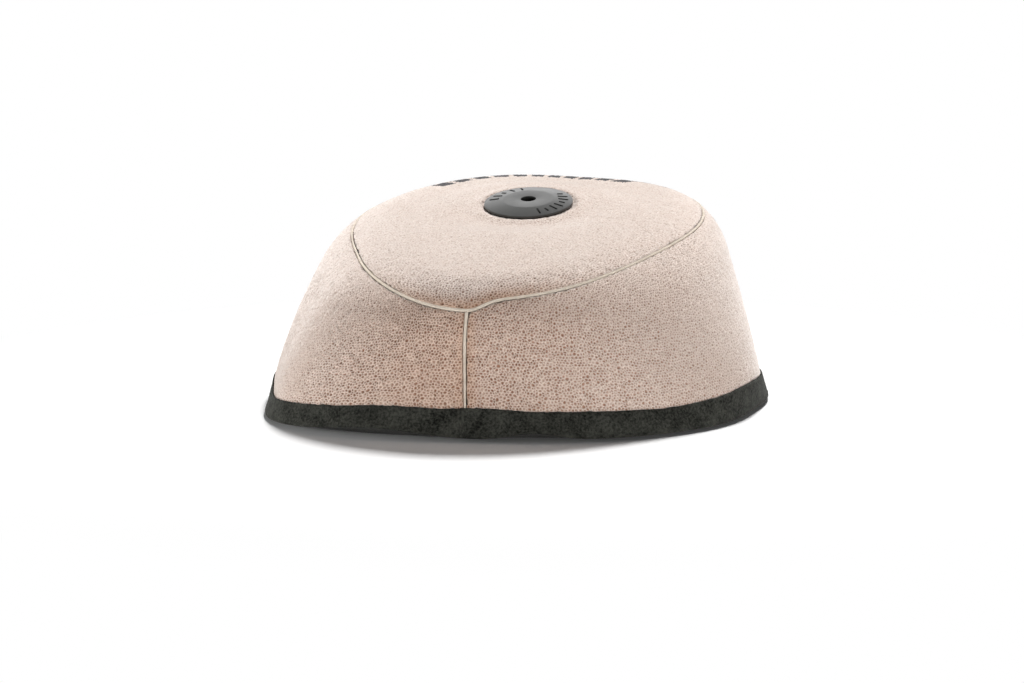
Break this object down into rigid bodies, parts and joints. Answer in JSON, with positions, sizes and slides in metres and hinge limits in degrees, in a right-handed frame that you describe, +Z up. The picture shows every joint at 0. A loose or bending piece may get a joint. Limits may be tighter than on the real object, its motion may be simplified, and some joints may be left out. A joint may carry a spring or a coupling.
{
  "type": "foam air filter",
  "caption": "Rounded, sloping foam dome with glued seams, a dense foam sealing flange and a plastic clamping disc with a bolt hole; cleans the intake air of an off-road motorcycle.",
  "frame": {"origin": "centre of the bounding box, at the bottom of the sealing flange", "axes": "+Z up, away from the flange's seat; -Y towards the front, where the ends of the side band meet; +X to the right seen from the front"},
  "size_m": [0.2315, 0.2342, 0.0939],
  "materials": {
    "coarse_foam": "open-cell polyurethane foam, pale pink, matt",
    "fine_foam": "fine open-cell polyurethane foam, cream, matt",
    "seam_glue": "cured contact glue, cream",
    "dense_foam": "closed-cell sealing foam, dark grey, matt",
    "black_plastic": "moulded, satin black"
  },
  "bodies": {
    "root": {"outer_side_band": "coarse_foam", "outer_top_panel": "coarse_foam", "inner_side_band": "fine_foam", "inner_top_panel": "fine_foam", "top_seam_glue": "seam_glue", "front_seam_glue": "seam_glue", "inner_top_seam_glue": "seam_glue", "inner_front_seam_glue": "seam_glue", "flange_glue": "seam_glue", "seal_flange": "dense_foam", "flange_joint_glue": "dense_foam", "top_disc": "black_plastic", "backing_washer": "black_plastic"}
  },
  "joints": []
}
